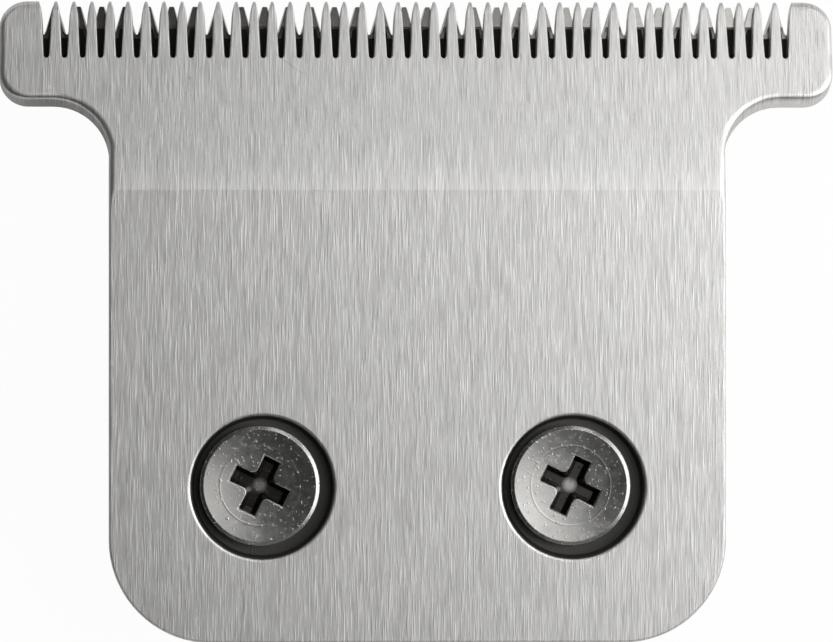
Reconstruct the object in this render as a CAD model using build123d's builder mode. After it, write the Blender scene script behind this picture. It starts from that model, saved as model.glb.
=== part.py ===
"""T-blade set of a hair trimmer: bent comb, sliding cutter, drive follower, wire spring, seat and screws.

The set lies on its back. +Z is the outward normal of the comb's flat lower face, +Y points to the tooth
tips, +X is to the right as the comb is looked at. The origin is under the middle of the set, on the plane
of the seat's rim. Lengths are millimetres, angles are degrees.
"""
import os
from math import acos, asin, cos, degrees, radians, sin, sqrt, tan

from build123d import *

# Comb outline, square on to the flat lower face
overall_width = 40.0
overall_height = 30.7
body_width = 29.45
arm_height = 5.03
arm_top_radius = 1.35
arm_lower_radius = 1.4
neck_radius = 2.7
foot_radius = 4.9

# Comb section: a plate bent back, tumbled round at its edges, then ground on the lower face
plate_thickness = 1.5
crease_height = 21.6
lean_angle = 17.5
bend_radius = 14.0
edge_round = 0.3
face_grind = 0.1
crown_length = 0.5
crown_radius = 2.0

# Running face ground on the comb's back, and the comb's slots
tip_thickness = 0.45
wedge_angle = 8.5
slot_pitch = 0.865
end_land = 2.0
slot_depth = 2.87
slot_root_width = 0.28
slot_root_rise = 0.1
flank_length = 1.97
flank_angle = 3.3
ogive_radius = 3.0
slot_draft = 3.0
root_flat_share = 0.35
overcut = 0.3

# Screw recesses in the comb
screw_spacing = 14.83
screw_height = 7.42
recess_diameter = 6.9
recess_depth = 0.85
recess_draft = 12.0
recess_lip = 0.03
recess_lip_width = 0.09
slot_hole_diameter = 3.5
slot_hole_travel = 0.5

# How far the comb has been slid on its screws when the gap was set
gap_set_x = 0.12
gap_set_y = -0.08

# Cutter
stroke = 1.8
lap_clearance = 0.02
cutter_end_margin = 0.15
cutter_depth = 7.9
cutter_thickness = 1.2
cutter_setback = 0.18
cutter_tip_thickness = 0.35
cutter_bevel_length = 2.1
cutter_bar = 4.1
cutter_tail_inset = 1.8
cutter_neck_radius = 1.2
cutter_corner = 0.8
land_length = 0.96
hollow_length = 3.2
hollow_depth = 0.3
gap_pitch = 1.119
cutter_end_land = 0.9
gap_depth = 1.36
gap_tip_width = 0.92
gap_root_rise = 0.14
gap_root_slope = 11.0
gap_flank_angle = 14.5
gap_draft = 8.0

# Drive follower
follower_width = 14.4
follower_length = 4.5
follower_base = 1.3
follower_corner = 0.9
follower_margin = 0.3
fork_opening = 3.1
fork_wall = 1.7
fork_length = 3.4
fork_height = 3.3
fork_root_fillet = 0.5
fork_mouth_chamfer = 0.4
peg_diameter = 1.8
peg_spacing = 9.0
peg_length = 0.8
peg_clearance = 0.02

# Seat
seat_inset = 0.7
seat_depth = 7.1
seat_base = 2.6
rim_wall = 1.4
seat_relief = 0.25
ledge_clearance = 0.08
boss_diameter = 6.4
boss_setback = 1.2
rib_wall = 1.0
rib_setback = 2.0
drive_clearance = 0.2
window_sill = 1.3
window_height = 1.6
hinge_slot_width = 9.0
latch_width = 4.0
latch_from_crease = 6.0

# Tension spring
wire_diameter = 0.9
leg_spacing = 11.0
leg_bend = 1.5
leg_overlap = 3.3
crossbar_height = 12.4
spring_clearance = 0.03
hook_length = 3.0
hook_wall = 0.9
hook_lap = 0.3
hook_from_crossbar = 4.2
bed_rib = 0.8
bed_rib_height = 1.0
bed_rib_length = 5.6

# Screws
shank_diameter = 3.0
shank_length = 6.0
shank_chamfer = 0.4
thread_clearance = 0.02
head_diameter = 5.7
head_height = 0.8
head_dish = 0.2
head_rim_width = 0.16
head_rim_drop = 0.09
drive_span = 2.8
drive_arm = 0.82
drive_depth = 1.15
drive_draft = 13.0
drive_lead = 45.0
drive_lead_depth = 0.01
drive_corner = 0.3
drive_turn = -26.0

# Levels: the seat's rim is at zero and the comb's lower face is on top
plate_back = seat_depth
z_face = plate_back + plate_thickness
z_raw = z_face + face_grind
raw_thickness = plate_thickness + face_grind
y_bottom = -overall_height / 2
y_tip = overall_height / 2
y_crease = y_bottom + crease_height
lean = radians(lean_angle)

# Bend, and the sharp corner that the tips would have without their rounding
y_bend = y_crease - bend_radius * sin(acos(1 - face_grind / bend_radius))
y_upper = y_bend + bend_radius * sin(lean)
z_upper = z_raw - bend_radius * (1 - cos(lean))
nose_depth = crown_radius - sqrt((crown_radius - edge_round) ** 2 - (crown_length - edge_round) ** 2)
y_sharp = y_tip - edge_round * (1 - cos(lean)) + nose_depth * sin(lean)
z_sharp = z_upper - (y_sharp - y_upper) * tan(lean)
upper_length = (y_sharp - y_upper) / cos(lean)
tip_allowance = crown_length
crown_angle = degrees(asin((crown_length + tip_allowance) / crown_radius))


def leaning(along, depth):
    """Point of the YZ section, from the sharp tip: along the leaning face, and down into the plate."""
    y = y_sharp + along * cos(lean) - depth * sin(lean)
    z = z_sharp - along * sin(lean) - depth * cos(lean)
    return (y, z)


def across(plane):
    """Section plane of a leaning plane: its x runs up the blade, its y out of the blade's front."""
    return Plane(origin=plane.origin, x_dir=plane.y_dir, z_dir=plane.x_dir)


# The comb's leaning face, the running face behind it, and the cutter's front and back
leaning_face = Plane(origin=(0, y_sharp, z_sharp), x_dir=(1, 0, 0), z_dir=(0, sin(lean), cos(lean)))
run_tilt = radians(lean_angle - wedge_angle)
y_run, z_run = leaning(0, tip_thickness)
running_face = Plane(origin=(0, y_run, z_run), x_dir=(1, 0, 0), z_dir=(0, sin(run_tilt), cos(run_tilt)))
cutter_front = running_face.offset(-lap_clearance)
cutter_back = cutter_front.offset(-cutter_thickness)
follower_back = cutter_back.offset(-follower_base)
cutter_rear = -cutter_setback - cutter_depth
ledge = cutter_rear - ledge_clearance

# The cutter's ends stay behind the comb over the whole stroke, and its tail behind the comb's body
cutter_width = overall_width - stroke - 2 * cutter_end_margin
cutter_tail_width = body_width - 2 * cutter_tail_inset

# Screw axes, in the seat; the comb's recesses stand off them by the set of the gap
comb_screws = [(-screw_spacing / 2, y_bottom + screw_height), (screw_spacing / 2, y_bottom + screw_height)]
seat_screws = [(x - gap_set_x, y - gap_set_y) for x, y in comb_screws]
seat_x = -gap_set_x
z_recess = z_face - recess_depth

# Spring: a flat U of wire whose legs rise from the seat's base to the follower's back
z_base = plate_back - seat_base
y_crossbar = y_bottom + crossbar_height
z_crossbar = z_base - wire_diameter / 2 - spring_clearance
leg_end = follower_back.from_local_coords((0, cutter_rear + follower_margin + leg_overlap, 0))
y_leg_end = leg_end.Y
z_leg_end = leg_end.Z - wire_diameter / 2 / cos(run_tilt) - spring_clearance
spring_up = Vector(0, y_leg_end - y_crossbar, z_leg_end - z_crossbar)
spring_plane = Plane(
    origin=(seat_x, y_crossbar, z_crossbar), x_dir=(1, 0, 0), z_dir=Vector(1, 0, 0).cross(spring_up)
)
leg_length = spring_up.length

os.makedirs("parts", exist_ok=True)

# Comb slot: a rounded root, straight flanks and an ogive tip, wider at the comb's front by its draft
comb_slots = int((overall_width - 2 * end_land) / slot_pitch) + 1
root_thickness = tip_thickness + slot_depth * tan(radians(wedge_angle))
with BuildPart() as comb_slot:
    for rise in (0, root_thickness + overcut):
        root_edge = slot_root_width / 2 + (rise - root_thickness) * tan(radians(slot_draft))
        with BuildSketch(Plane.XY.offset(rise)):
            with BuildLine():
                root = Polyline(
                    (0, -slot_depth),
                    (root_edge * root_flat_share, -slot_depth),
                    (root_edge, slot_root_rise - slot_depth),
                )
                flank = PolarLine(root @ 1, flank_length, 90 - flank_angle)
                ogive_angle = degrees(asin(-(flank @ 1).Y / ogive_radius))
                ogive = JernArc(flank @ 1, flank % 1, ogive_radius, -ogive_angle)
                mouth = Line(ogive @ 1, (ogive @ 1) + (ogive % 1) * tip_thickness / 2)
                Line(mouth @ 1, (0, (mouth @ 1).Y))
                mirror(about=Plane.YZ)
            make_face()
    loft(ruled=True)

# Screw recess: a drafted wall with a broken lip, sunk in the comb's lower face
recess_radius = recess_diameter / 2
floor_radius = recess_radius - recess_depth * tan(radians(recess_draft))
with BuildPart() as screw_recess:
    with BuildSketch(Plane.XZ):
        with BuildLine():
            Polyline(
                (0, -recess_depth),
                (floor_radius, -recess_depth),
                (recess_radius, -recess_lip),
                (recess_radius + 2 * recess_lip_width, recess_lip),
                (0, recess_lip),
                close=True,
            )
        make_face()
    revolve(axis=Axis.Z)

# Comb: the bent plate, cut to its T and rounded, then ground and slotted
with BuildPart() as fixed_blade:
    with BuildSketch(Plane.YZ) as section:
        with BuildLine() as section_edge:
            lower = Line((y_bottom, z_raw), (y_bend, z_raw))
            bend = JernArc(lower @ 1, lower % 1, bend_radius, -lean_angle)
            upper = Line(bend @ 1, leaning(-crown_length, 0))
            crown = JernArc(upper @ 1, upper % 1, crown_radius, -crown_angle)
            heel = Line(crown @ 1, leaning(tip_allowance, raw_thickness))
            back = Line(heel @ 1, leaning(-upper_length, raw_thickness))
            inner = JernArc(back @ 1, back % 1, bend_radius - raw_thickness, lean_angle)
            Polyline(inner @ 1, (y_bottom, plate_back), lower @ 0)
        make_face()
    extrude(amount=overall_width, both=True)

    with BuildSketch(leaning_face) as outline:
        Rectangle(overall_width, arm_height, align=(Align.CENTER, Align.MAX))
        Rectangle(body_width, 2 * overall_height, align=(Align.CENTER, Align.MAX))
        fillet(outline.vertices().group_by(Axis.Y)[1].sort_by(Axis.X)[1:3], neck_radius)
        fillet(outline.vertices().group_by(Axis.Y)[2].sort_by(Axis.X)[0::3], arm_lower_radius)
        fillet(outline.vertices().group_by(Axis.Y)[-1], arm_top_radius)
    extrude(amount=overall_height, both=True, mode=Mode.INTERSECT)
    fillet(fixed_blade.edges().filter_by(Axis.Z).group_by(Axis.Y)[0], foot_radius)

    # Faces that look more sideways than forwards are the plate's walls
    walls = fixed_blade.faces().filter_by(lambda face: abs(face.normal_at().Z) < sqrt(1 / 2))
    front = fixed_blade.faces().filter_by(lambda face: face.normal_at().Z > sqrt(1 / 2))
    fillet(front.edges() & walls.edges(), edge_round)
    split(bisect_by=Plane.XY.offset(z_face), keep=Keep.BOTTOM)

    with BuildSketch(running_face):
        with Locations((0, tip_allowance)):
            Rectangle(2 * overall_width, tip_allowance - ledge, align=(Align.CENTER, Align.MAX))
    extrude(amount=-plate_back, mode=Mode.SUBTRACT)

    with Locations(running_face):
        with GridLocations(slot_pitch, 0, comb_slots, 1):
            add(comb_slot.part, mode=Mode.SUBTRACT)
    with Locations(*[(x, y, z_face) for x, y in comb_screws]):
        add(screw_recess.part, mode=Mode.SUBTRACT)
    with BuildSketch(Plane.XY.offset(z_recess)):
        with Locations(*comb_screws):
            SlotCenterToCenter(slot_hole_travel, slot_hole_diameter, rotation=90)
    extrude(amount=-plate_thickness, mode=Mode.SUBTRACT)
fixed_blade.part.label = "fixed_blade"
export_step(fixed_blade.part, "parts/fixed_blade.step")

# Cutter gap: a V with a rounded root, narrower at the cutter's back by its draft and its root's slope
cutter_gaps = int((cutter_width - 2 * cutter_end_land) / gap_pitch) + 1
bevel_rise = (cutter_thickness - cutter_tip_thickness) / cutter_bevel_length
gap_reach = cutter_tip_thickness + gap_depth * bevel_rise
with BuildPart() as cutter_gap:
    for fall in (0, gap_reach):
        gap_floor = fall * tan(radians(gap_root_slope)) - gap_depth
        tip_edge = gap_tip_width / 2 - fall * tan(radians(gap_draft))
        root_edge = tip_edge + (gap_floor + gap_root_rise) * tan(radians(gap_flank_angle))
        with BuildSketch(Plane.XY.offset(-fall)):
            with BuildLine():
                Polyline(
                    (0, gap_floor),
                    (root_edge * root_flat_share, gap_floor),
                    (root_edge, gap_floor + gap_root_rise),
                    (tip_edge + overcut * tan(radians(gap_flank_angle)), overcut),
                    (0, overcut),
                )
                mirror(about=Plane.YZ)
            make_face()
    loft(ruled=True)

# Cutter: a bevelled plate with a bright land, a hollow behind it and V-ground gaps
peg_y = cutter_rear + follower_margin + follower_length / 2
with BuildPart() as moving_blade:
    with BuildSketch(across(cutter_front)):
        with BuildLine():
            land = Line((-cutter_setback, 0), (-cutter_setback - land_length, 0))
            hollow_end = (-cutter_setback - land_length - hollow_length, 0)
            hollow_middle = (-cutter_setback - land_length - hollow_length / 2, -hollow_depth)
            ThreePointArc(land @ 1, hollow_middle, hollow_end)
            Polyline(
                hollow_end,
                (cutter_rear, 0),
                (cutter_rear, -cutter_thickness),
                (-cutter_setback - cutter_bevel_length, -cutter_thickness),
                (-cutter_setback, -cutter_tip_thickness),
                land @ 0,
            )
        make_face()
    extrude(amount=cutter_width / 2, both=True)
    with BuildSketch(cutter_front) as cutter_outline:
        Rectangle(cutter_width, cutter_setback + cutter_bar, align=(Align.CENTER, Align.MAX))
        Rectangle(cutter_tail_width, cutter_setback + cutter_depth, align=(Align.CENTER, Align.MAX))
        fillet(cutter_outline.vertices().group_by(Axis.Y)[1].sort_by(Axis.X)[1:3], cutter_neck_radius)
        chamfer(cutter_outline.vertices().group_by(Axis.Y)[2].sort_by(Axis.X)[0::3], cutter_corner)
        chamfer(cutter_outline.vertices().group_by(Axis.Y)[0], cutter_corner)
    extrude(amount=cutter_thickness, both=True, mode=Mode.INTERSECT)

    with Locations(cutter_front):
        with Locations((0, -cutter_setback)):
            with GridLocations(gap_pitch, 0, cutter_gaps, 1):
                add(cutter_gap.part, mode=Mode.SUBTRACT)

    with BuildSketch(cutter_front):
        with Locations((0, peg_y)):
            with GridLocations(peg_spacing, 0, 2, 1):
                Circle(peg_diameter / 2 + peg_clearance)
    extrude(amount=-cutter_thickness, mode=Mode.SUBTRACT)
moving_blade.part.label = "moving_blade"
export_step(moving_blade.part, "parts/moving_blade.step")

# Follower: a pegged plate on the cutter's back, with a fork for the drive's eccentric
fork_width = fork_opening + 2 * fork_wall
fork_origin = cutter_back.from_local_coords((0, peg_y, 0))
fork_section = Plane(origin=fork_origin, x_dir=(1, 0, 0), z_dir=-cutter_back.y_dir)
with BuildPart() as drive_follower:
    with BuildSketch(cutter_back):
        with Locations((0, peg_y)):
            RectangleRounded(follower_width, follower_length, follower_corner)
    extrude(amount=-follower_base)
    with BuildSketch(fork_section) as fork:
        Rectangle(follower_width - 2 * follower_corner, follower_base, align=(Align.CENTER, Align.MAX))
        with Locations((0, -follower_base)):
            Rectangle(fork_width, fork_height, align=(Align.CENTER, Align.MAX))
            Rectangle(fork_opening, fork_height, align=(Align.CENTER, Align.MAX), mode=Mode.SUBTRACT)
        chamfer(fork.vertices().group_by(Axis.Y)[0].sort_by(Axis.X)[1:3], fork_mouth_chamfer)
        foot = fork.vertices().group_by(Axis.Y)[-2].sort_by(Axis.X)
        fillet(foot[1:5], fork_root_fillet)
    extrude(amount=fork_length / 2, both=True)
    with BuildSketch(cutter_back):
        with Locations((0, peg_y)):
            with GridLocations(peg_spacing, 0, 2, 1):
                Circle(peg_diameter / 2)
    extrude(amount=peg_length)
drive_follower.part.label = "drive_follower"
export_step(drive_follower.part, "parts/drive_follower.step")

# Spring: wire bent to a U, its crossbar on the seat and its legs on the follower
with BuildPart() as tension_spring:
    with BuildLine(spring_plane) as wire:
        FilletPolyline(
            (-leg_spacing / 2, leg_length),
            (-leg_spacing / 2, 0),
            (leg_spacing / 2, 0),
            (leg_spacing / 2, leg_length),
            radius=leg_bend,
        )
    with BuildSketch(Plane(origin=wire.line @ 0, z_dir=wire.line % 0)):
        Circle(wire_diameter / 2)
    sweep()
tension_spring.part.label = "tension_spring"
export_step(tension_spring.part, "parts/tension_spring.step")

# Seat: a tray behind the comb, with screw bosses, spring hooks and a ledge that guides the cutter
drive_opening = follower_width + stroke + 2 * drive_clearance
seat_width = body_width - 2 * seat_inset
seat_bottom = y_bottom + seat_inset
ledge_foot = running_face.from_local_coords((0, ledge, 0))
ledge_plane = Plane(origin=ledge_foot, x_dir=(1, 0, 0), z_dir=running_face.y_dir)
seat_top = ledge_foot.Y
y_hook = y_crossbar + hook_from_crossbar
wire_fall = (z_leg_end - z_crossbar) / (y_leg_end - y_crossbar)
wire_side = wire_diameter / 2 + spring_clearance
z_lip = z_crossbar + (hook_from_crossbar + hook_length / 2) * wire_fall - wire_side
with BuildPart() as blade_seat:
    with BuildSketch() as seat_outline:
        with Locations((seat_x, seat_bottom)):
            Rectangle(seat_width, seat_top - seat_bottom, align=(Align.CENTER, Align.MIN))
        fillet(seat_outline.vertices().group_by(Axis.Y)[0], foot_radius - seat_inset)
    extrude(amount=plate_back)
    with BuildSketch():
        add(seat_outline.sketch)
        offset(amount=-rim_wall)
    extrude(amount=z_base, mode=Mode.SUBTRACT)

    # Windows in the rim for the handle's hinge tongue and side latches, and the way in for the drive
    with BuildSketch(Plane(origin=(seat_x, seat_bottom, window_sill), x_dir=(1, 0, 0), z_dir=(0, -1, 0))):
        Rectangle(hinge_slot_width, window_height, align=(Align.CENTER, Align.MIN))
    extrude(amount=-rim_wall, mode=Mode.SUBTRACT)
    with BuildSketch(Plane.YZ.offset(seat_x)):
        with Locations((y_crease - latch_from_crease, window_sill)):
            Rectangle(latch_width, window_height, align=(Align.CENTER, Align.MIN))
    extrude(amount=seat_width / 2, both=True, mode=Mode.SUBTRACT)
    with BuildSketch():
        with Locations((seat_x, seat_top)):
            Rectangle(drive_opening, rim_wall, align=(Align.CENTER, Align.MAX))
    extrude(amount=z_base, mode=Mode.SUBTRACT)

    # Screw bosses, tied to the rim by ribs
    with BuildSketch(Plane.XY.offset(boss_setback)):
        with Locations(*seat_screws):
            Circle(boss_diameter / 2)
    extrude(amount=z_base - boss_setback)
    with BuildSketch(Plane.XY.offset(rib_setback)):
        with Locations((seat_x, seat_screws[0][1])):
            Rectangle(seat_width - rim_wall, rib_wall)
        with Locations(*[(x, seat_bottom + rim_wall / 2) for x, y in seat_screws]):
            Rectangle(rib_wall, seat_screws[0][1] - seat_bottom, align=(Align.CENTER, Align.MIN))
    extrude(amount=z_base - rib_setback)
    with Locations(*[(x, y, 0) for x, y in seat_screws]):
        Hole(shank_diameter / 2 + thread_clearance)

    # Hooks over the spring's legs, and a bed of two ribs for its crossbar
    with BuildSketch(Plane(origin=(seat_x, y_hook, z_base), x_dir=(1, 0, 0), z_dir=(0, -1, 0))):
        with Locations((leg_spacing / 2 + wire_side, 0)):
            Rectangle(hook_wall, z_base - z_lip + hook_wall, align=(Align.MIN, Align.MAX))
        with Locations((leg_spacing / 2 - hook_lap, z_lip - z_base)):
            Rectangle(hook_lap + wire_side + hook_wall, hook_wall, align=(Align.MIN, Align.MAX))
        mirror(about=Plane.YZ)
    extrude(amount=hook_length / 2, both=True)
    with BuildSketch(Plane.XY.offset(z_base)):
        with Locations((seat_x, y_crossbar)):
            with GridLocations(0, 2 * wire_side + bed_rib, 1, 2):
                Rectangle(bed_rib_length, bed_rib)
    extrude(amount=-bed_rib_height)

    # Front relief under the comb's bend, and the ledge along the cutter's rear edge
    split(bisect_by=running_face.offset(-seat_relief), keep=Keep.BOTTOM)
    split(bisect_by=ledge_plane, keep=Keep.BOTTOM)
blade_seat.part.label = "blade_seat"
export_step(blade_seat.part, "parts/blade_seat.step")

# Screws: a low dished head with a cross recess, on a plain-modelled shank; the cross has a flared edge
lead_end = head_dish + drive_lead_depth
drive_sections = (
    (0, 2 * lead_end * tan(radians(drive_lead))),
    (lead_end, 0),
    (drive_depth, -2 * (drive_depth - lead_end) * tan(radians(drive_draft))),
)
for name, (x, y) in zip(("screw_left", "screw_right"), seat_screws):
    with BuildPart() as screw:
        with BuildSketch(Plane(origin=(x, y, z_recess), x_dir=(1, 0, 0), z_dir=(0, -1, 0))):
            with BuildLine():
                dish = TangentArc(
                    (0, head_height - head_dish),
                    (head_diameter / 2 - head_rim_width, head_height),
                    tangent=(1, 0),
                )
                Polyline(
                    dish @ 1,
                    (head_diameter / 2, head_height - head_rim_drop),
                    (head_diameter / 2, 0),
                    (shank_diameter / 2, 0),
                    (shank_diameter / 2, shank_chamfer - shank_length),
                    (shank_diameter / 2 - shank_chamfer, -shank_length),
                    (0, -shank_length),
                    dish @ 0,
                )
            make_face()
        revolve(axis=Axis((x, y, 0), (0, 0, 1)))
        for depth, growth in drive_sections:
            with BuildSketch(Plane.XY.offset(z_recess + head_height - depth)) as cross:
                with Locations((x, y)):
                    Rectangle(drive_span + growth, drive_arm + growth, rotation=drive_turn)
                    Rectangle(drive_arm + growth, drive_span + growth, rotation=drive_turn)
                fillet(cross.vertices().sort_by_distance((x, y))[:4], drive_corner)
        loft(ruled=True, mode=Mode.SUBTRACT)
    screw.part.label = name
    export_step(screw.part, f"parts/{name}.step")
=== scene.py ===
from math import pi, radians

import bpy
from bpy.props import FloatProperty, FloatVectorProperty, PointerProperty
from mathutils import Matrix, Vector


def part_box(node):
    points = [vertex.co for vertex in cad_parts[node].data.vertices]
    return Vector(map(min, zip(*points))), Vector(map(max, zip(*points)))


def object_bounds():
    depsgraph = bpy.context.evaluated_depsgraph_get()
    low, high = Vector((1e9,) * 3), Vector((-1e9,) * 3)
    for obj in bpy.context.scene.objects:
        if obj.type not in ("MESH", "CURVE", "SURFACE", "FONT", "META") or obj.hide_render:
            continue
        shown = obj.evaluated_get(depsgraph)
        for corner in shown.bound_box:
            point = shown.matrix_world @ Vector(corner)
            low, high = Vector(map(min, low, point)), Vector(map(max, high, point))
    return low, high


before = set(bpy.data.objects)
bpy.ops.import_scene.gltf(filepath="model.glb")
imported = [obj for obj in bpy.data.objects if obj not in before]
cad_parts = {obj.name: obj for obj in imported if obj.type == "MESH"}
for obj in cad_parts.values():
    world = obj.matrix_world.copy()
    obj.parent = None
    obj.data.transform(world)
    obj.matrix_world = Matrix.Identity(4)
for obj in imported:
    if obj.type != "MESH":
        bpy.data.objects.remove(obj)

bl_info = {
    "name": "Trimmer Blade Finishes",
    "version": (1, 0, 0),
    "blender": (4, 5, 0),
    "location": "View3D > Sidebar > Trimmer Blade",
    "description": "Finishes a trimmer's T-blade set and stages it on a pale floor",
    "category": "Material",
}

MM = 0.001
CAD_LOW, CAD_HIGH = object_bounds()
COMB_LOW, COMB_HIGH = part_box("fixed_blade")

# The part of a noise's range that its shades are spread over
NOISE_LOW, NOISE_HIGH = 0.3, 0.7

# Marks on the comb's face: start and end from the middle of the set and half width, in millimetres,
# and how dark the mark is, with a bright one below zero
WEAR = (
    ((-6.8, 12.82), (-5.5, 11.86), 0.07, 0.7),
    ((-5.5, 11.86), (-5.93, 10.71), 0.07, 0.7),
    ((-1.61, 13.83), (-1.42, 13.59), 0.06, 0.9),
    ((-10.9, 11.63), (-10.84, 11.6), 0.1, 1.0),
    ((-17.57, 11.19), (-17.52, 11.15), 0.1, -0.9),
    ((-8.95, 10.42), (-7.6, 10.3), 0.4, 0.12),
    ((19.5, 13.46), (19.8, 13.44), 0.06, 0.4),
    ((-11.3, 4.18), (-9.7, 3.46), 0.4, 0.12),
)

# The way that the brushing spreads a highlight: sideways, a little off the X axis
ACROSS_BRUSHING = {"X": 1.0, "Y": 0.02, "Z": 0.05}

# The cutter's running face: the way it faces, a point of its land and one at its tips, in millimetres
RUNNING_FACE = Vector((0, 0.15643, 0.98769))
LAND_POINT = Vector((0, 15.284, 5.533))
TIP_POINT = Vector((0, 15.106, 5.561))

# Softboxes, strips and cards: place, width and height in metres, turn about X and Y in degrees, brightness
LIGHTS = (
    ("right_near_softbox", (0.0825, -0.025, 0.16), (0.075, 0.05), (0, 0), 1.25),
    ("right_upper_softbox", (0.0825, 0.025, 0.16), (0.075, 0.05), (0, 0), 2.3),
    ("right_far_softbox", (0.16, 0.0, 0.16), (0.08, 0.1), (0, 0), 5.2),
    ("right_lower_softbox", (0.15, -0.1, 0.16), (0.1, 0.1), (0, 0), 2.2),
    ("middle_strip", (0.025, 0.05, 0.16), (0.06, 0.03), (0, 0), 1.6),
    ("centre_strip", (0.0275, 0.0025, 0.16), (0.035, 0.065), (0, 0), 0.85),
    ("front_strip", (0.1075, 0.07, 0.16), (0.185, 0.04), (0, 0), 1.85),
    ("upper_softbox", (0.065, 0.145, 0.16), (0.07, 0.11), (0, 0), 3.2),
    ("right_card", (0.35, 0.1, 0.14), (0.26, 0.6), (0, 90), 2.2),
    ("foot_side_card", (0.0, -0.4, 0.107), (0.8, 0.16), (90, 0), 0.8),
    ("tooth_side_card", (0.0, 0.4, 0.107), (0.8, 0.16), (-90, 0), 0.8),
)


def linear(code):
    """Linear RGBA of an sRGB hex colour such as "#C8C6C2"."""
    shares = [int(code[i : i + 2], 16) / 255 for i in (1, 3, 5)]
    return [c / 12.92 if c <= 0.04045 else ((c + 0.055) / 1.055) ** 2.4 for c in shares] + [1.0]


def colour(name, code, description):
    """A colour property with its default given as an sRGB hex value."""
    return FloatVectorProperty(
        name=name, description=description, subtype="COLOR", size=4, min=0, max=1, default=linear(code)
    )


def length(name, default_mm, description):
    """A length property in metres with its default given in millimetres."""
    return FloatProperty(
        name=name, description=description, subtype="DISTANCE", unit="LENGTH", min=0, default=default_mm * MM
    )


def share(name, default, description):
    """A property from 0 to 1."""
    return FloatProperty(name=name, description=description, subtype="FACTOR", min=0, max=1, default=default)


class CombFinish(bpy.types.PropertyGroup):
    """Brushed stainless steel of the comb, with dark shade painted into the screw recesses"""

    steel: colour("Steel", "#D8D7D5", "Colour of the brushed steel")
    # The colour of the shade painted into the screw recesses, then its roughness and how metallic it is
    scale: colour("Scale", "#484745", "Colour of the scale left in the screw recesses")
    roughness: share("Roughness", 0.36, "Roughness of the brushed faces")
    shade_roughness: share("Scale roughness", 0.45, "Roughness of the scale")
    shade_metal: share("Scale metal", 0.6, "How metallic the scale is")
    spread: share("Spread", 0.75, "How far the brushing spreads a highlight sideways")
    line_width: length("Line width", 0.045, "Width of one brush line")
    line_length: length("Line length", 1.3, "Length of one brush line")
    line_relief: length("Line relief", 0.007, "Height of a brush line's ridge")
    line_strength: share("Line strength", 0.5, "How strongly the ridges turn the light")
    line_shade: share("Line shade", 0.92, "Brightness of the darkest brush lines")
    streak_shade: share("Streak shade", 0.95, "Brightness of the darkest streaks")
    cut_shade: share("Cut shade", 0.18, "How much a deep cut or a scratch darkens the steel")
    recess_radius: length("Recess radius", 3.42, "Radius of the dark floor in a screw recess")
    recess_spacing: length("Recess spacing", 14.83, "Distance between the screw recesses")
    recess_y: length("Recess height", 7.42, "Height of the recesses over the comb's foot")
    broken_edge: length("Broken edge", 0.09, "Radius that tumbling left on the edges")


class CutterFinish(bpy.types.PropertyGroup):
    """Lapped steel of the cutter, with dark shade painted into its hollow"""

    steel: colour("Steel", "#A19F9B", "Colour of the lapped land and ground gaps")
    # The colour of the shade painted into the hollow, then its roughness and how metallic it is
    scale: colour("Scale", "#151413", "Colour of the scale in the hollow")
    roughness: share("Roughness", 0.17, "Roughness of the lapped land")
    shade_roughness: share("Scale roughness", 0.6, "Roughness of the scale")
    shade_metal: share("Scale metal", 0.2, "How metallic the scale is")
    lap_shade: share("Lap shade", 0.85, "Brightness of the darkest lapping lines")
    land_depth: length("Land depth", 0.035, "Depth under the running face at which the scale starts")
    gap_pitch: length("Gap pitch", 1.119, "Distance between the cutter's gaps")
    gap_depth: length("Gap depth", 1.36, "Depth of a gap")
    gap_tip_width: length("Gap tip width", 0.92, "Width of a gap between the tips")
    gap_root_width: length("Gap root width", 0.22, "Width of a gap at its root")
    rim: length("Rim", 0.13, "Width of the bright rim along a gap")


class ScrewFinish(bpy.types.PropertyGroup):
    """Nickel-plated steel of the screws"""

    nickel: colour("Nickel", "#BDBCB9", "Colour of the plated head")
    # The colour of the shade painted down in the cross recess
    cross_shade: colour("Grime", "#4A4845", "Colour down in the cross recess")
    roughness: share("Roughness", 0.25, "Roughness of the plated head")
    scuff_shade: share("Scuff shade", 0.88, "Brightness of the darkest scuffs")
    ring_radius: length("Ring radius", 1.9, "Radius of the forming mark on the head")
    ring_width: length("Ring width", 0.06, "Half width of the forming mark")
    ring_relief: length("Ring relief", 0.006, "Height of the forming mark")
    pip_relief: length("Pip relief", 0.01, "Height of the small pips in the plating")
    broken_edge: length("Broken edge", 0.04, "Radius left on the edges by heading and plating")


class PlasticFinish(bpy.types.PropertyGroup):
    """Moulded plastics of the seat and the follower"""

    seat: colour("Seat", "#1C1C1D", "Colour of the moulded seat")
    follower: colour("Follower", "#D9D6CC", "Colour of the moulded follower")
    seat_roughness: share("Seat roughness", 0.5, "Roughness of the seat")
    follower_roughness: share("Follower roughness", 0.38, "Roughness of the follower")
    grain: length("Grain", 0.14, "Size of the spark-eroded grain")
    grain_relief: length("Grain relief", 0.02, "Height of the spark-eroded grain")
    grain_strength: share("Grain strength", 0.35, "How strongly the grain turns the light")


class WireFinish(bpy.types.PropertyGroup):
    """Drawn steel wire of the spring"""

    wire: colour("Wire", "#BDBBB6", "Colour of the drawn wire")
    die_line: length("Die line", 0.05, "Width of the lines left by the drawing die")
    die_length: length("Die line length", 2.5, "Length of the lines left by the drawing die")
    die_shade: share("Die line shade", 0.75, "Brightness of the darkest die lines")


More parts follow.
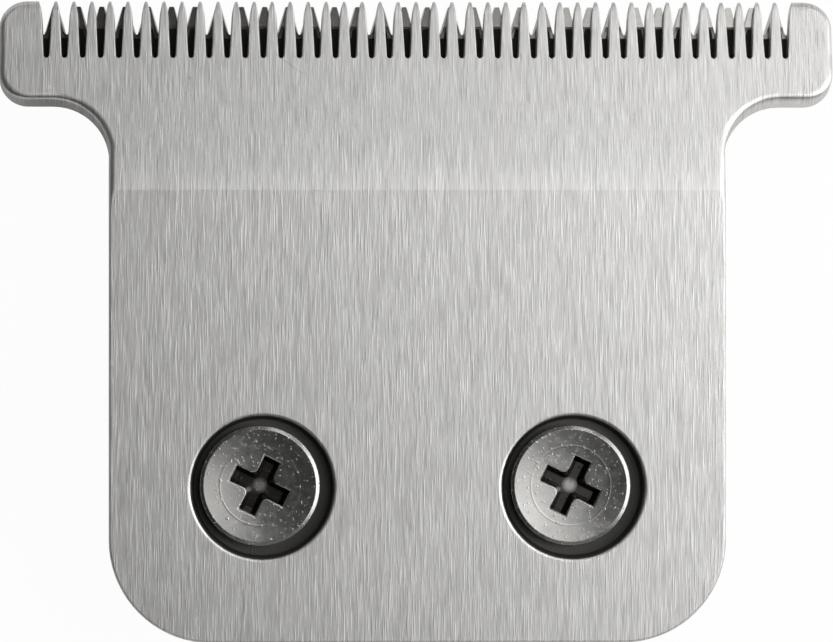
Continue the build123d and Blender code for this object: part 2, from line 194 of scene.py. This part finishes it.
class StageSetting(bpy.types.PropertyGroup):
    """Floor, lights and camera"""

    floor: colour("Floor", "#F4F3F1", "Colour of the floor")
    distance: length("Camera distance", 290.0, "Distance from the camera to the comb")
    offset: length("Camera offset", 10.0, "How far the camera stands to the left of the middle")
    view_width: length("View width", 39.7, "Width of the view at the comb")
    target_x: FloatProperty(
        name="Target",
        description="How far right of the middle the camera aims",
        subtype="DISTANCE",
        unit="LENGTH",
        default=-0.07 * MM,
    )
    floor_in_lens: share("Floor in the lens", 0.97, "How white the lens sees the floor")
    floor_in_metal: share("Floor in the metal", 0.1, "How white the metal sees the floor")
    fill: share("Fill", 0.04, "Strength of the even light from all sides")


def put(tree, kind, inputs=None, **settings):
    """Adds a node with its settings, and fills its inputs with values or with other nodes' outputs."""
    made = tree.nodes.new(kind)
    for key, value in settings.items():
        setattr(made, key, value)
    for key, value in (inputs or {}).items():
        if isinstance(value, bpy.types.NodeSocket):
            tree.links.new(value, made.inputs[key])
        else:
            made.inputs[key].default_value = value
    return made


def fresh_material(name):
    """A material, its emptied tree, and a point in millimetres on Object coordinates."""
    material = bpy.data.materials.new(name)
    material.use_nodes = True
    tree = material.node_tree
    tree.nodes.clear()
    place = put(tree, "ShaderNodeTexCoord")
    point = put(
        tree,
        "ShaderNodeVectorMath",
        {0: place.outputs["Object"], "Scale": 1 / MM},
        operation="SCALE",
    )
    return material, tree, point.outputs[0]


def dress(node, material):
    """Gives a CAD node one material."""
    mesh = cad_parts[node].data
    mesh.materials.clear()
    mesh.materials.append(material)


def wear_marks(tree, point):
    """How dark the comb's face is with scratches, specks and smears, each along a line between two points."""
    total = None
    for start, end, half_width, darkness in WEAR:
        run = Vector((end[0] - start[0], end[1] - start[1], 0))
        past = put(
            tree,
            "ShaderNodeVectorMath",
            {0: point, 1: (*start, 0)},
            operation="SUBTRACT",
        ).outputs[0]
        reach = put(
            tree, "ShaderNodeVectorMath", {0: past, 1: run / run.length_squared}, operation="DOT_PRODUCT"
        )
        along = put(tree, "ShaderNodeClamp", {"Value": reach.outputs["Value"]})
        nearest = put(tree, "ShaderNodeVectorMath", {0: run, "Scale": along.outputs[0]}, operation="SCALE")
        apart = put(tree, "ShaderNodeVectorMath", {0: past, 1: nearest.outputs[0]}, operation="SUBTRACT")
        flat = put(tree, "ShaderNodeVectorMath", {0: apart.outputs[0], 1: (1, 1, 0)}, operation="MULTIPLY")
        gap = put(tree, "ShaderNodeVectorMath", {0: flat.outputs[0]}, operation="LENGTH")
        mark = put(
            tree,
            "ShaderNodeMapRange",
            {0: gap.outputs["Value"], "From Min": half_width, "From Max": half_width / 4, "To Max": darkness},
        )
        if total:
            mark = put(tree, "ShaderNodeMath", {0: mark.outputs[0], 1: total.outputs[0]}, operation="ADD")
        total = mark
    return total.outputs[0]


def recess_shade(tree, point, finish):
    """Where the comb gets its painted shade: in its screw recesses, below the ground face."""
    split = put(tree, "ShaderNodeSeparateXYZ", {0: point})
    side = put(tree, "ShaderNodeMath", {0: split.outputs["X"]}, operation="ABSOLUTE")
    half_spacing = finish.recess_spacing / 2 / MM
    from_x = put(tree, "ShaderNodeMath", {0: side.outputs[0], 1: half_spacing}, operation="SUBTRACT")
    centre_y = (COMB_LOW.y + finish.recess_y) / MM
    from_y = put(tree, "ShaderNodeMath", {0: split.outputs["Y"], 1: centre_y}, operation="SUBTRACT")
    flat = put(tree, "ShaderNodeCombineXYZ", {"X": from_x.outputs[0], "Y": from_y.outputs[0]})
    radius = put(tree, "ShaderNodeVectorMath", {0: flat.outputs[0]}, operation="LENGTH")

    # The painted shade sets in across the recess's edge and a little under its lip, in millimetres
    edge = finish.recess_radius / MM
    edge_out, edge_in = edge + 0.02, edge - 0.04
    inside = put(
        tree, "ShaderNodeMapRange", {0: radius.outputs["Value"], "From Min": edge_out, "From Max": edge_in}
    )
    face = COMB_HIGH.z / MM
    lip_top, lip_foot = face - 0.03, face - 0.12
    below = put(
        tree,
        "ShaderNodeMapRange",
        {0: split.outputs["Z"], "From Min": lip_top, "From Max": lip_foot},
    )
    kept = put(tree, "ShaderNodeMath", {0: inside.outputs[0], 1: below.outputs[0]}, operation="MULTIPLY")
    return kept.outputs[0]


class TRIMMER_OT_comb(bpy.types.Operator):
    """Brush the comb's steel and paint shade into its screw recesses"""

    bl_idname = "trimmer.finish_comb"
    bl_label = "Finish Comb"

    def execute(self, context):
        finish = context.scene.trimmer_comb
        # Stainless steel, belt-brushed from tip to foot: fine lines that spread each highlight sideways.
        # Real lines are finer than the render's pixels, so these are as wide as they need to be to show
        material, tree, point = fresh_material("brushed_stainless_steel")
        across, along = MM / finish.line_width, MM / finish.line_length
        fine = put(tree, "ShaderNodeMapping", {"Vector": point, "Scale": (across, along, along)})
        lines = put(tree, "ShaderNodeTexNoise", {"Vector": fine.outputs[0], "Scale": 1.0, "Detail": 2.0})
        shade = put(
            tree,
            "ShaderNodeMapRange",
            {
                0: lines.outputs["Fac"],
                "From Min": NOISE_LOW,
                "From Max": NOISE_HIGH,
                "To Min": finish.line_shade,
            },
        )
        ridge_foot, ridge_top = 0.5, 0.68
        ridges = put(
            tree,
            "ShaderNodeMapRange",
            {0: lines.outputs["Fac"], "From Min": ridge_foot, "From Max": ridge_top},
        )

        # Streaks, several lines wide and long, where the belt cut a little more or less
        streak_across, streak_along = across / 6, along / 8
        wide = put(
            tree,
            "ShaderNodeMapping",
            {"Vector": point, "Scale": (streak_across, streak_along, streak_along)},
        )
        streaks = put(tree, "ShaderNodeTexNoise", {"Vector": wide.outputs[0], "Scale": 1.0, "Detail": 2.0})
        tone = put(
            tree,
            "ShaderNodeMapRange",
            {
                0: streaks.outputs["Fac"],
                "From Min": NOISE_LOW,
                "From Max": NOISE_HIGH,
                "To Min": finish.streak_shade,
            },
        )

        # Single deep cuts: dark where the noise is high and bright where it is low
        cut_place = (31, 17, 5)
        crisp = put(
            tree,
            "ShaderNodeMapping",
            {"Vector": point, "Location": cut_place, "Scale": (across, along, along)},
        )
        cuts = put(tree, "ShaderNodeTexNoise", {"Vector": crisp.outputs[0], "Scale": 1.0, "Detail": 0.0})
        dark_start, dark_full = 0.62, 0.68
        dark_cut = put(
            tree,
            "ShaderNodeMapRange",
            {0: cuts.outputs["Fac"], "From Min": dark_start, "From Max": dark_full},
        )
        bright_cut = put(
            tree,
            "ShaderNodeMapRange",
            {0: cuts.outputs["Fac"], "From Min": 1 - dark_start, "From Max": 1 - dark_full},
        )
        scored = put(
            tree, "ShaderNodeMath", {0: dark_cut.outputs[0], 1: bright_cut.outputs[0]}, operation="SUBTRACT"
        )
        deep = put(
            tree,
            "ShaderNodeMath",
            {0: scored.outputs[0], 1: wear_marks(tree, point)},
            operation="ADD",
        )
        dull = put(
            tree,
            "ShaderNodeMath",
            {0: deep.outputs[0], 1: -finish.cut_shade, 2: 1.0},
            operation="MULTIPLY_ADD",
        )

        worn = put(tree, "ShaderNodeMath", {0: shade.outputs[0], 1: tone.outputs[0]}, operation="MULTIPLY")
        worn = put(tree, "ShaderNodeMath", {0: worn.outputs[0], 1: dull.outputs[0]}, operation="MULTIPLY")
        brushed = put(
            tree, "ShaderNodeVectorMath", {0: finish.steel[:3], "Scale": worn.outputs[0]}, operation="SCALE"
        )
        # Shade painted into the screw recesses: a dark colour, rougher and less metallic
        scale = recess_shade(tree, point, finish)
        base = put(tree, "ShaderNodeMixRGB", {0: scale, 1: brushed.outputs[0], 2: finish.scale})
        gloss = put(
            tree,
            "ShaderNodeMapRange",
            {0: scale, "To Min": finish.roughness, "To Max": finish.shade_roughness},
        )
        metal = put(tree, "ShaderNodeMapRange", {0: scale, "To Min": 1.0, "To Max": finish.shade_metal})
        rounded = put(tree, "ShaderNodeBevel", {"Radius": finish.broken_edge}, samples=4)
        relief = put(
            tree,
            "ShaderNodeBump",
            {
                "Height": ridges.outputs[0],
                "Strength": finish.line_strength,
                "Distance": finish.line_relief,
                "Normal": rounded.outputs[0],
            },
        )
        sideways = put(tree, "ShaderNodeCombineXYZ", ACROSS_BRUSHING)
        steel = put(
            tree,
            "ShaderNodeBsdfPrincipled",
            {
                "Base Color": base.outputs[0],
                "Metallic": metal.outputs[0],
                "Roughness": gloss.outputs[0],
                "Anisotropic": finish.spread,
                "Tangent": sideways.outputs[0],
                "Normal": relief.outputs[0],
            },
        )
        put(tree, "ShaderNodeOutputMaterial", {"Surface": steel.outputs[0]})
        dress("fixed_blade", material)
        return {"FINISHED"}


def off_gap_rims(tree, point, finish):
    """1 away from the cutter's gaps, and 0 on the bright rim that grinding left along each of them."""
    up = Vector((0, RUNNING_FACE.z, -RUNNING_FACE.y))
    height = put(tree, "ShaderNodeVectorMath", {0: point, 1: up}, operation="DOT_PRODUCT").outputs["Value"]
    tip = up.dot(TIP_POINT)

    # Distance from the flank of the nearest gap, which narrows from the tips to its root
    split = put(tree, "ShaderNodeSeparateXYZ", {0: point})
    half_pitch = finish.gap_pitch / 2 / MM
    off_centre = put(
        tree, "ShaderNodeMath", {0: split.outputs["X"], 1: half_pitch, 2: -half_pitch}, operation="WRAP"
    )
    aside = put(tree, "ShaderNodeMath", {0: off_centre.outputs[0]}, operation="ABSOLUTE")
    half_gap = put(
        tree,
        "ShaderNodeMapRange",
        {
            0: height,
            "From Min": tip - finish.gap_depth / MM,
            "From Max": tip,
            "To Min": finish.gap_root_width / 2 / MM,
            "To Max": finish.gap_tip_width / 2 / MM,
        },
    )
    beside = put(
        tree,
        "ShaderNodeMath",
        {0: aside.outputs[0], 1: half_gap.outputs[0]},
        operation="SUBTRACT",
    )
    clear = put(tree, "ShaderNodeMath", {0: beside.outputs[0], 1: finish.rim / MM}, operation="SUBTRACT")

    # Under the root the rim is as wide, with rounded corners, and it fades into the painted shade
    root = tip - (finish.gap_depth + finish.rim) / MM
    under = put(tree, "ShaderNodeMath", {0: root, 1: height}, operation="SUBTRACT")
    rim_rounding, rim_fade = 0.1, 0.02
    outside = put(
        tree,
        "ShaderNodeMath",
        {0: clear.outputs[0], 1: under.outputs[0], 2: rim_rounding},
        operation="SMOOTH_MAX",
    )
    off_rim = put(
        tree, "ShaderNodeMapRange", {0: outside.outputs[0], "From Min": -rim_fade, "From Max": rim_fade}
    )
    return off_rim.outputs[0]


class TRIMMER_OT_cutter(bpy.types.Operator):
    """Lap the cutter's land and paint shade into its hollow"""

    bl_idname = "trimmer.finish_cutter"
    bl_label = "Finish Cutter"

    def execute(self, context):
        finish = context.scene.trimmer_cutter
        # Hardened steel: a lapped bright land at the tips, and black shade painted into the hollow behind it
        material, tree, point = fresh_material("lapped_tool_steel")
        depth = put(tree, "ShaderNodeVectorMath", {0: point, 1: RUNNING_FACE}, operation="DOT_PRODUCT")
        shade_fade = 0.03
        shade_top = RUNNING_FACE.dot(LAND_POINT) - finish.land_depth / MM
        below = put(
            tree,
            "ShaderNodeMapRange",
            {0: depth.outputs["Value"], "From Min": shade_top, "From Max": shade_top - shade_fade},
        )
        way = put(tree, "ShaderNodeNewGeometry").outputs["True Normal"]
        front = put(tree, "ShaderNodeVectorMath", {0: way, 1: RUNNING_FACE}, operation="DOT_PRODUCT")
        sloped, level = 0.6, 0.8
        forward = put(
            tree, "ShaderNodeMapRange", {0: front.outputs["Value"], "From Min": sloped, "From Max": level}
        )
        hollow = put(
            tree,
            "ShaderNodeMath",
            {0: below.outputs[0], 1: forward.outputs[0]},
            operation="MULTIPLY",
        )
        off_rims = off_gap_rims(tree, point, finish)
        scale = put(
            tree,
            "ShaderNodeMath",
            {0: hollow.outputs[0], 1: off_rims},
            operation="MULTIPLY",
        ).outputs[0]

        # Lapping lines to the millimetre, along X, Y and Z
        lap_lines = (2.0, 30.0, 30.0)
        lap = put(tree, "ShaderNodeMapping", {"Vector": point, "Scale": lap_lines})
        lines = put(tree, "ShaderNodeTexNoise", {"Vector": lap.outputs[0], "Scale": 1.0, "Detail": 2.0})
        shade = put(
            tree,
            "ShaderNodeMapRange",
            {
                0: lines.outputs["Fac"],
                "From Min": NOISE_LOW,
                "From Max": NOISE_HIGH,
                "To Min": finish.lap_shade,
            },
        )
        lapped = put(
            tree,
            "ShaderNodeVectorMath",
            {0: finish.steel[:3], "Scale": shade.outputs[0]},
            operation="SCALE",
        )
        # Painted shade in the hollow: a near-black colour, rough and barely metallic
        base = put(tree, "ShaderNodeMixRGB", {0: scale, 1: lapped.outputs[0], 2: finish.scale})
        gloss = put(
            tree,
            "ShaderNodeMapRange",
            {0: scale, "To Min": finish.roughness, "To Max": finish.shade_roughness},
        )
        metal = put(tree, "ShaderNodeMapRange", {0: scale, "To Min": 1.0, "To Max": finish.shade_metal})
        steel = put(
            tree,
            "ShaderNodeBsdfPrincipled",
            {"Base Color": base.outputs[0], "Metallic": metal.outputs[0], "Roughness": gloss.outputs[0]},
        )
        put(tree, "ShaderNodeOutputMaterial", {"Surface": steel.outputs[0]})
        dress("moving_blade", material)
        return {"FINISHED"}


class TRIMMER_OT_screws(bpy.types.Operator):
    """Plate the screws"""

    bl_idname = "trimmer.finish_screws"
    bl_label = "Finish Screws"

    def execute(self, context):
        finish = context.scene.trimmer_screws
        for name in ("screw_left", "screw_right"):
            low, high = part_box(name)
            axis = Vector((low.x + high.x, low.y + high.y, 0)) / 2 / MM
            # Cold-headed steel under nickel plate: a soft mirror with a forming ring and fine scuffs
            material, tree, point = fresh_material(f"nickel_plated_steel_{name}")
            from_axis = put(tree, "ShaderNodeVectorMath", {0: point, 1: axis}, operation="SUBTRACT")
            split = put(tree, "ShaderNodeSeparateXYZ", {0: from_axis.outputs[0]})
            flat = put(tree, "ShaderNodeCombineXYZ", {"X": split.outputs["X"], "Y": split.outputs["Y"]})
            radius = put(
                tree,
                "ShaderNodeVectorMath",
                {0: flat.outputs[0]},
                operation="LENGTH",
            ).outputs["Value"]
            off_ring = put(
                tree, "ShaderNodeMath", {0: radius, 1: finish.ring_radius / MM}, operation="SUBTRACT"
            )
            ring = put(tree, "ShaderNodeMath", {0: off_ring.outputs[0]}, operation="ABSOLUTE")
            ridge = put(
                tree,
                "ShaderNodeMapRange",
                {0: ring.outputs[0], "From Min": finish.ring_width / MM, "From Max": 0.0},
            )

            # Scuffs, in blotches of a third of a millimetre
            scuff_scale, duller, brighter = 3.0, 0.08, 0.06
            scuffs = put(tree, "ShaderNodeTexNoise", {"Vector": point, "Scale": scuff_scale, "Detail": 6.0})
            shade = put(
                tree,
                "ShaderNodeMapRange",
                {
                    0: scuffs.outputs["Fac"],
                    "From Min": NOISE_LOW,
                    "From Max": NOISE_HIGH,
                    "To Min": finish.scuff_shade,
                },
            )
            gloss = put(
                tree,
                "ShaderNodeMapRange",
                {
                    0: scuffs.outputs["Fac"],
                    "To Min": finish.roughness - brighter,
                    "To Max": finish.roughness + duller,
                },
            )
            plate = put(
                tree,
                "ShaderNodeVectorMath",
                {0: finish.nickel[:3], "Scale": shade.outputs[0]},
                operation="SCALE",
            )

            # Shade is painted down in the cross, and the middle of its floor is left bright, a painted
            # highlight
            head = high.z / MM
            cross_shade_top, cross_shade_full = head - 0.16, head - 0.4
            deep = put(
                tree,
                "ShaderNodeMapRange",
                {0: split.outputs["Z"], "From Min": cross_shade_top, "From Max": cross_shade_full},
            )
            base = put(tree, "ShaderNodeMixRGB", {0: deep.outputs[0], 1: plate.outputs[0], 2: finish.cross_shade})
            lit_edge, lit_full = 0.4, 0.15
            middle = put(
                tree,
                "ShaderNodeMapRange",
                {0: radius, "From Min": lit_edge, "From Max": lit_full},
            )
            base = put(
                tree,
                "ShaderNodeMixRGB",
                {0: middle.outputs[0], 1: base.outputs[0], 2: finish.nickel},
            )

            # A few pips in the plating, from the tops of a fine noise
            pip_scale, pip_foot, pip_top = 6.0, 0.64, 0.72
            fine = put(tree, "ShaderNodeTexNoise", {"Vector": point, "Scale": pip_scale, "Detail": 2.0})
            pips = put(
                tree, "ShaderNodeMapRange", {0: fine.outputs["Fac"], "From Min": pip_foot, "From Max": pip_top}
            )
            relief = put(tree, "ShaderNodeBevel", {"Radius": finish.broken_edge}, samples=4)
            for raised, strength, height in (
                (pips, 0.8, finish.pip_relief),
                (ridge, 0.6, finish.ring_relief),
            ):
                relief = put(
                    tree,
                    "ShaderNodeBump",
                    {
                        "Height": raised.outputs[0],
                        "Strength": strength,
                        "Distance": height,
                        "Normal": relief.outputs[0],
                    },
                )
            metal = put(
                tree,
                "ShaderNodeBsdfPrincipled",
                {
                    "Base Color": base.outputs[0],
                    "Metallic": 1.0,
                    "Roughness": gloss.outputs[0],
                    "Normal": relief.outputs[0],
                },
            )
            put(tree, "ShaderNodeOutputMaterial", {"Surface": metal.outputs[0]})
            dress(name, material)
        return {"FINISHED"}


class TRIMMER_OT_plastics(bpy.types.Operator):
    """Give the seat and the follower their moulded plastics"""

    bl_idname = "trimmer.finish_plastics"
    bl_label = "Finish Plastics"

    def execute(self, context):
        finish = context.scene.trimmer_plastics
        # Black ABS and natural acetal from spark-eroded moulds: an even fine grain and a dull sheen
        for node, name, tint, roughness in (
            ("blade_seat", "moulded_black_abs", finish.seat, finish.seat_roughness),
            ("drive_follower", "moulded_acetal", finish.follower, finish.follower_roughness),
        ):
            material, tree, point = fresh_material(name)
            grain = put(
                tree,
                "ShaderNodeTexNoise",
                {"Vector": point, "Scale": MM / finish.grain, "Detail": 2.0},
            )

            # Flow in the mould drifts the tone and the sheen over about 3 mm
            drift_scale, darkest, sheen_drift = 0.3, 0.85, 0.08
            drift = put(tree, "ShaderNodeTexNoise", {"Vector": point, "Scale": drift_scale, "Detail": 3.0})
            tone = put(
                tree,
                "ShaderNodeMapRange",
                {0: drift.outputs["Fac"], "From Min": NOISE_LOW, "From Max": NOISE_HIGH, "To Min": darkest},
            )
            base = put(
                tree,
                "ShaderNodeVectorMath",
                {0: tint[:3], "Scale": tone.outputs[0]},
                operation="SCALE",
            )
            sheen = put(
                tree,
                "ShaderNodeMapRange",
                {
                    0: drift.outputs["Fac"],
                    "To Min": roughness - sheen_drift,
                    "To Max": roughness + sheen_drift,
                },
            )
            relief = put(
                tree,
                "ShaderNodeBump",
                {
                    "Height": grain.outputs["Fac"],
                    "Strength": finish.grain_strength,
                    "Distance": finish.grain_relief,
                },
            )
            plastic = put(
                tree,
                "ShaderNodeBsdfPrincipled",
                {
                    "Base Color": base.outputs[0],
                    "Roughness": sheen.outputs[0],
                    "IOR": 1.5,
                    "Normal": relief.outputs[0],
                },
            )
            put(tree, "ShaderNodeOutputMaterial", {"Surface": plastic.outputs[0]})
            dress(node, material)
        return {"FINISHED"}


class TRIMMER_OT_spring(bpy.types.Operator):
    """Give the spring its drawn wire"""

    bl_idname = "trimmer.finish_spring"
    bl_label = "Finish Spring"

    def execute(self, context):
        finish = context.scene.trimmer_wire
        # Hard-drawn spring wire: bright, with fine lines from the die and a trace of oil
        material, tree, point = fresh_material("drawn_spring_wire")
        across, along = MM / finish.die_line, MM / finish.die_length
        fine = put(tree, "ShaderNodeMapping", {"Vector": point, "Scale": (across, along, across)})
        lines = put(tree, "ShaderNodeTexNoise", {"Vector": fine.outputs[0], "Scale": 1.0, "Detail": 2.0})
        shade = put(
            tree,
            "ShaderNodeMapRange",
            {
                0: lines.outputs["Fac"],
                "From Min": NOISE_LOW,
                "From Max": NOISE_HIGH,
                "To Min": finish.die_shade,
            },
        )
        base = put(
            tree, "ShaderNodeVectorMath", {0: finish.wire[:3], "Scale": shade.outputs[0]}, operation="SCALE"
        )
        oiled, dry = 0.2, 0.42
        gloss = put(tree, "ShaderNodeMapRange", {0: lines.outputs["Fac"], "To Min": oiled, "To Max": dry})
        steel = put(
            tree,
            "ShaderNodeBsdfPrincipled",
            {"Base Color": base.outputs[0], "Metallic": 1.0, "Roughness": gloss.outputs[0]},
        )
        put(tree, "ShaderNodeOutputMaterial", {"Surface": steel.outputs[0]})
        dress("tension_spring", material)
        return {"FINISHED"}


def lay_floor(context, setting):
    """The table top, a hair under the set."""
    bpy.ops.object.select_all(action="DESELECT")
    table_width, table_gap = 4.0, 0.02 * MM
    bpy.ops.mesh.primitive_plane_add(size=table_width, location=(0, 0, CAD_LOW.z - table_gap))
    floor = context.active_object
    floor.name = "floor"
    # Matt white laminate: near white to the lens, with a soft shadow, and a share of that in the metal
    material = bpy.data.materials.new("white_table_laminate")
    material.use_nodes = True
    tree = material.node_tree
    tree.nodes.clear()
    matt = put(tree, "ShaderNodeBsdfDiffuse", {"Color": setting.floor})
    white = put(tree, "ShaderNodeEmission", {"Color": (1, 1, 1, 1), "Strength": 1.0})
    path = put(tree, "ShaderNodeLightPath")
    mirrored = put(
        tree,
        "ShaderNodeMath",
        {0: path.outputs["Is Glossy Ray"], 1: path.outputs["Is Transmission Ray"]},
        operation="MAXIMUM",
    )
    in_metal = put(
        tree, "ShaderNodeMath", {0: mirrored.outputs[0], 1: setting.floor_in_metal}, operation="MULTIPLY"
    )
    part = put(
        tree,
        "ShaderNodeMath",
        {0: path.outputs["Is Camera Ray"], 1: setting.floor_in_lens, 2: in_metal.outputs[0]},
        operation="MULTIPLY_ADD",
    )
    lit = put(tree, "ShaderNodeMixShader", {0: part.outputs[0], 1: matt.outputs[0], 2: white.outputs[0]})
    put(tree, "ShaderNodeOutputMaterial", {"Surface": lit.outputs[0]})
    floor.data.materials.append(material)


def hang_lights(scene, setting):
    """The even light of the room, and the softboxes, strips and cards round the set."""
    world = bpy.data.worlds.new("studio")
    world.use_nodes = True
    tree = world.node_tree
    tree.nodes.clear()
    fill = put(tree, "ShaderNodeBackground", {"Color": (1, 1, 1, 1), "Strength": setting.fill})
    put(tree, "ShaderNodeOutputWorld", {"Surface": fill.outputs[0]})
    scene.world = world
    for name, place, size, turn, brightness in LIGHTS:
        lamp = bpy.data.lights.new(name, "AREA")
        lamp.shape = "RECTANGLE"
        lamp.size, lamp.size_y = size
        lamp.energy = brightness * pi * lamp.size * lamp.size_y
        softbox = bpy.data.objects.new(name, lamp)
        softbox.location = place
        softbox.rotation_euler = (radians(turn[0]), radians(turn[1]), 0)
        softbox.visible_camera = False
        scene.collection.objects.link(softbox)


def set_camera(scene, setting):
    """The camera, over the comb and a little to its left."""
    lens = bpy.data.cameras.new("camera")
    camera = bpy.data.objects.new("camera", lens)
    scene.collection.objects.link(camera)
    target = Vector((setting.target_x, 0, COMB_HIGH.z))
    camera.location = target + Vector((-setting.offset, 0, setting.distance))
    ahead = (target - camera.location).normalized()
    right = ahead.cross(Vector((0, 1, 0))).normalized()
    camera.rotation_euler = Matrix((right, right.cross(ahead), -ahead)).transposed().to_euler()
    lens.lens = lens.sensor_width * (target - camera.location).length / setting.view_width
    lens.clip_start, lens.clip_end = 0.01, 10.0
    scene.camera = camera


class TRIMMER_OT_stage(bpy.types.Operator):
    """Lay the floor, hang the lights and set the camera"""

    bl_idname = "trimmer.stage"
    bl_label = "Stage"

    def execute(self, context):
        setting = context.scene.trimmer_stage
        lay_floor(context, setting)
        hang_lights(context.scene, setting)
        set_camera(context.scene, setting)
        context.scene.view_settings.view_transform = "Standard"
        return {"FINISHED"}


class TRIMMER_PT_panel(bpy.types.Panel):
    """Lists the finishes and the stage"""

    bl_label = "Trimmer Blade"
    bl_idname = "TRIMMER_PT_panel"
    bl_space_type = "VIEW_3D"
    bl_region_type = "UI"
    bl_category = "Trimmer Blade"

    def draw(self, context):
        for owner, operator in STEPS:
            box = self.layout.box()
            settings = getattr(context.scene, owner)
            for key in settings.__annotations__:
                box.prop(settings, key)
            box.operator(operator)


GROUPS = {
    "trimmer_comb": CombFinish,
    "trimmer_cutter": CutterFinish,
    "trimmer_screws": ScrewFinish,
    "trimmer_plastics": PlasticFinish,
    "trimmer_wire": WireFinish,
    "trimmer_stage": StageSetting,
}
STEPS = (
    ("trimmer_comb", "trimmer.finish_comb"),
    ("trimmer_cutter", "trimmer.finish_cutter"),
    ("trimmer_screws", "trimmer.finish_screws"),
    ("trimmer_plastics", "trimmer.finish_plastics"),
    ("trimmer_wire", "trimmer.finish_spring"),
    ("trimmer_stage", "trimmer.stage"),
)
CLASSES = (
    *GROUPS.values(),
    TRIMMER_OT_comb,
    TRIMMER_OT_cutter,
    TRIMMER_OT_screws,
    TRIMMER_OT_plastics,
    TRIMMER_OT_spring,
    TRIMMER_OT_stage,
    TRIMMER_PT_panel,
)


def register():
    for cls in CLASSES:
        bpy.utils.register_class(cls)
    for owner, group in GROUPS.items():
        setattr(bpy.types.Scene, owner, PointerProperty(type=group))


def unregister():
    for owner in GROUPS:
        delattr(bpy.types.Scene, owner)
    for cls in reversed(CLASSES):
        bpy.utils.unregister_class(cls)


def main():
    register()
    bpy.ops.trimmer.finish_comb()
    bpy.ops.trimmer.finish_cutter()
    bpy.ops.trimmer.finish_screws()
    bpy.ops.trimmer.finish_plastics()
    bpy.ops.trimmer.finish_spring()
    bpy.ops.trimmer.stage()


if __name__ == "__main__":
    main()
